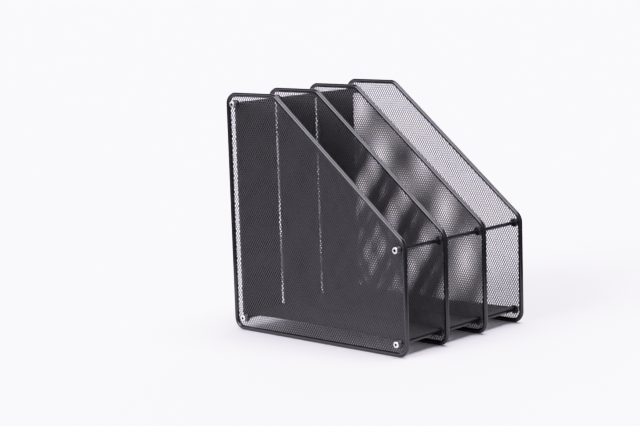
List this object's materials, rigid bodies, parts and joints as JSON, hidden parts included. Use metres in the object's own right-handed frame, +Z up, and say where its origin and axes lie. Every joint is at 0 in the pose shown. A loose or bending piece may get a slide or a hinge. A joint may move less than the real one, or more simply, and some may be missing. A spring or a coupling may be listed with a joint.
{
  "type": "magazine holder",
  "caption": "Desk magazine holder with open-topped bays between sloped, wire-framed mesh side panels, joined by screwed cross rods, with hung mesh backs and floors.",
  "frame": {"origin": "middle of the footprint, on the surface the holder stands on", "axes": "+X across the bays from left to right seen from the open front, +Y from the open front to the back, +Z up"},
  "size_m": [0.251, 0.2976, 0.3147],
  "materials": {
    "frame_paint": "semi-gloss black powder coat",
    "panel_mesh_paint": "satin black powder coat",
    "bay_mesh_paint": "satin black powder coat",
    "rod_paint": "semi-gloss black powder coat",
    "eyelet_paint": "satin black paint",
    "screw_nickel": "bright nickel plate",
    "stud_zinc": "zinc-plated steel"
  },
  "bodies": {
    "root": {"left_outer_frame": "frame_paint", "left_inner_frame": "frame_paint", "right_inner_frame": "frame_paint", "right_outer_frame": "frame_paint", "left_outer_mesh": "panel_mesh_paint", "left_inner_mesh": "panel_mesh_paint", "right_inner_mesh": "panel_mesh_paint", "right_outer_mesh": "panel_mesh_paint", "left_bay_mesh": "bay_mesh_paint", "middle_bay_mesh": "bay_mesh_paint", "right_bay_mesh": "bay_mesh_paint", "left_bay_rear_top_rod": "rod_paint", "left_bay_rear_bottom_rod": "rod_paint", "left_bay_front_bottom_rod": "rod_paint", "left_bay_knee_rod": "rod_paint", "middle_bay_rear_top_rod": "rod_paint", "middle_bay_rear_bottom_rod": "rod_paint", "middle_bay_front_bottom_rod": "rod_paint", "middle_bay_knee_rod": "rod_paint", "right_bay_rear_top_rod": "rod_paint", "right_bay_rear_bottom_rod": "rod_paint", "right_bay_front_bottom_rod": "rod_paint", "right_bay_knee_rod": "rod_paint", "left_outer_rear_top_eyelet": "eyelet_paint", "left_outer_rear_bottom_eyelet": "eyelet_paint", "left_outer_front_bottom_eyelet": "eyelet_paint", "left_outer_knee_eyelet": "eyelet_paint", "left_inner_rear_top_eyelet": "eyelet_paint", "left_inner_rear_bottom_eyelet": "eyelet_paint", "left_inner_front_bottom_eyelet": "eyelet_paint", "left_inner_knee_eyelet": "eyelet_paint", "right_inner_rear_top_eyelet": "eyelet_paint", "right_inner_rear_bottom_eyelet": "eyelet_paint", "right_inner_front_bottom_eyelet": "eyelet_paint", "right_inner_knee_eyelet": "eyelet_paint", "right_outer_rear_top_eyelet": "eyelet_paint", "right_outer_rear_bottom_eyelet": "eyelet_paint", "right_outer_front_bottom_eyelet": "eyelet_paint", "right_outer_knee_eyelet": "eyelet_paint", "left_rear_top_screw": "screw_nickel", "left_rear_bottom_screw": "screw_nickel", "left_front_bottom_screw": "screw_nickel", "left_knee_screw": "screw_nickel", "right_rear_top_screw": "screw_nickel", "right_rear_bottom_screw": "screw_nickel", "right_front_bottom_screw": "screw_nickel", "right_knee_screw": "screw_nickel", "left_inner_rear_top_stud": "stud_zinc", "left_inner_rear_bottom_stud": "stud_zinc", "left_inner_front_bottom_stud": "stud_zinc", "left_inner_knee_stud": "stud_zinc", "right_inner_rear_top_stud": "stud_zinc", "right_inner_rear_bottom_stud": "stud_zinc", "right_inner_front_bottom_stud": "stud_zinc", "right_inner_knee_stud": "stud_zinc"}
  },
  "joints": []
}
